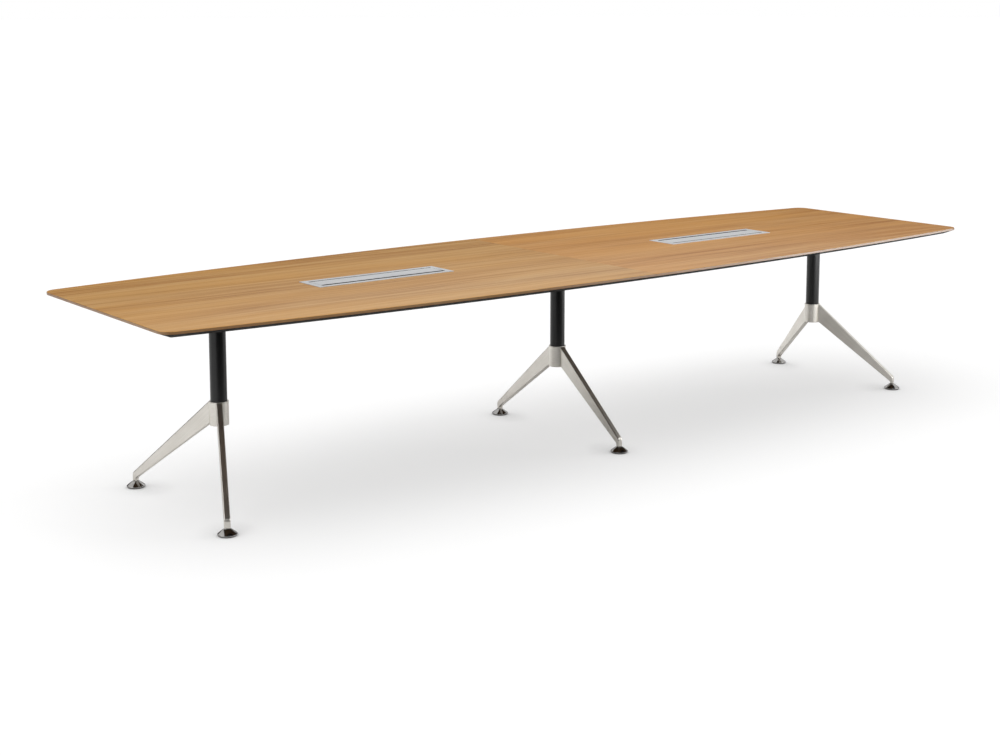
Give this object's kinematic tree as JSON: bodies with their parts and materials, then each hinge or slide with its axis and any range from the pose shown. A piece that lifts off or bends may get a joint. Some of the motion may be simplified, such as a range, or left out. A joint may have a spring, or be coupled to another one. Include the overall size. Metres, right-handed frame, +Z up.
{
  "type": "conference table",
  "caption": "Long boat-shaped conference table: veneered top with a black undercut edge, flush aluminium cable boxes with hinged lids, and column pedestals on blade legs with levelling feet.",
  "frame": {"origin": "on the floor, under the middle of the top", "axes": "+X along the table, +Y across it away from the picture's viewer, +Z up from the floor"},
  "size_m": [4, 1.18, 0.747],
  "materials": {
    "oak_veneer": "satin lacquered",
    "black_lacquer": "satin black lacquer",
    "black_powder_coat": "satin black powder coat",
    "satin_nickel": "satin nickel plated casting",
    "polished_chrome": "polished",
    "brushed_aluminium": "brushed and clear anodised",
    "zinc_steel": "zinc plated",
    "black_nylon": "moulded, matt"
  },
  "bodies": {
    "table": {"deck_left": "oak_veneer", "core_left": "black_lacquer", "deck_right": "oak_veneer", "core_right": "black_lacquer", "seam_plate_front": "zinc_steel", "seam_plate_back": "zinc_steel", "left_top_plate": "black_powder_coat", "left_column": "black_powder_coat", "left_hub": "satin_nickel", "left_tie_bolt": "zinc_steel", "left_hub_cap": "black_nylon", "left_leg_front": "satin_nickel", "left_leg_back": "satin_nickel", "middle_top_plate": "black_powder_coat", "middle_column": "black_powder_coat", "middle_hub": "satin_nickel", "middle_tie_bolt": "zinc_steel", "middle_hub_cap": "black_nylon", "middle_leg_front": "satin_nickel", "middle_leg_back": "satin_nickel", "right_top_plate": "black_powder_coat", "right_column": "black_powder_coat", "right_hub": "satin_nickel", "right_tie_bolt": "zinc_steel", "right_hub_cap": "black_nylon", "right_leg_front": "satin_nickel", "right_leg_back": "satin_nickel", "left_box_rail_slot": "brushed_aluminium", "left_box_rail_hinge": "brushed_aluminium", "left_box_end_outer": "brushed_aluminium", "left_box_end_inner": "brushed_aluminium", "left_box_tray": "black_powder_coat", "right_box_rail_slot": "brushed_aluminium", "right_box_rail_hinge": "brushed_aluminium", "right_box_end_outer": "brushed_aluminium", "right_box_end_inner": "brushed_aluminium", "right_box_tray": "black_powder_coat"},
    "left_lid": {"left_box_lid": "brushed_aluminium", "left_box_hinge_rod": "zinc_steel"},
    "right_lid": {"right_box_lid": "brushed_aluminium", "right_box_hinge_rod": "zinc_steel"},
    "left_foot_front": {"left_foot_front_bell": "polished_chrome", "left_foot_front_pad": "black_nylon", "left_foot_front_stud": "zinc_steel"},
    "left_foot_back": {"left_foot_back_bell": "polished_chrome", "left_foot_back_pad": "black_nylon", "left_foot_back_stud": "zinc_steel"},
    "middle_foot_front": {"middle_foot_front_bell": "polished_chrome", "middle_foot_front_pad": "black_nylon", "middle_foot_front_stud": "zinc_steel"},
    "middle_foot_back": {"middle_foot_back_bell": "polished_chrome", "middle_foot_back_pad": "black_nylon", "middle_foot_back_stud": "zinc_steel"},
    "right_foot_front": {"right_foot_front_bell": "polished_chrome", "right_foot_front_pad": "black_nylon", "right_foot_front_stud": "zinc_steel"},
    "right_foot_back": {"right_foot_back_bell": "polished_chrome", "right_foot_back_pad": "black_nylon", "right_foot_back_stud": "zinc_steel"}
  },
  "joints": [
    {"name": "left_lid_hinge", "type": "hinge", "parent": "table", "child": "left_lid", "pos_m": [-0.88, 0.036, 0.744], "axis": [-1, 0, 0], "range_deg": [0, 100]},
    {"name": "right_lid_hinge", "type": "hinge", "parent": "table", "child": "right_lid", "pos_m": [0.88, -0.036, 0.744], "axis": [1, 0, 0], "range_deg": [0, 100]},
    {"name": "left_foot_front_screw", "type": "slide", "parent": "table", "child": "left_foot_front", "axis": [0, 0, -1], "range_m": [0, 0.012]},
    {"name": "left_foot_back_screw", "type": "slide", "parent": "table", "child": "left_foot_back", "axis": [0, 0, -1], "range_m": [0, 0.012]},
    {"name": "middle_foot_front_screw", "type": "slide", "parent": "table", "child": "middle_foot_front", "axis": [0, 0, -1], "range_m": [0, 0.012]},
    {"name": "middle_foot_back_screw", "type": "slide", "parent": "table", "child": "middle_foot_back", "axis": [0, 0, -1], "range_m": [0, 0.012]},
    {"name": "right_foot_front_screw", "type": "slide", "parent": "table", "child": "right_foot_front", "axis": [0, 0, -1], "range_m": [0, 0.012]},
    {"name": "right_foot_back_screw", "type": "slide", "parent": "table", "child": "right_foot_back", "axis": [0, 0, -1], "range_m": [0, 0.012]}
  ]
}
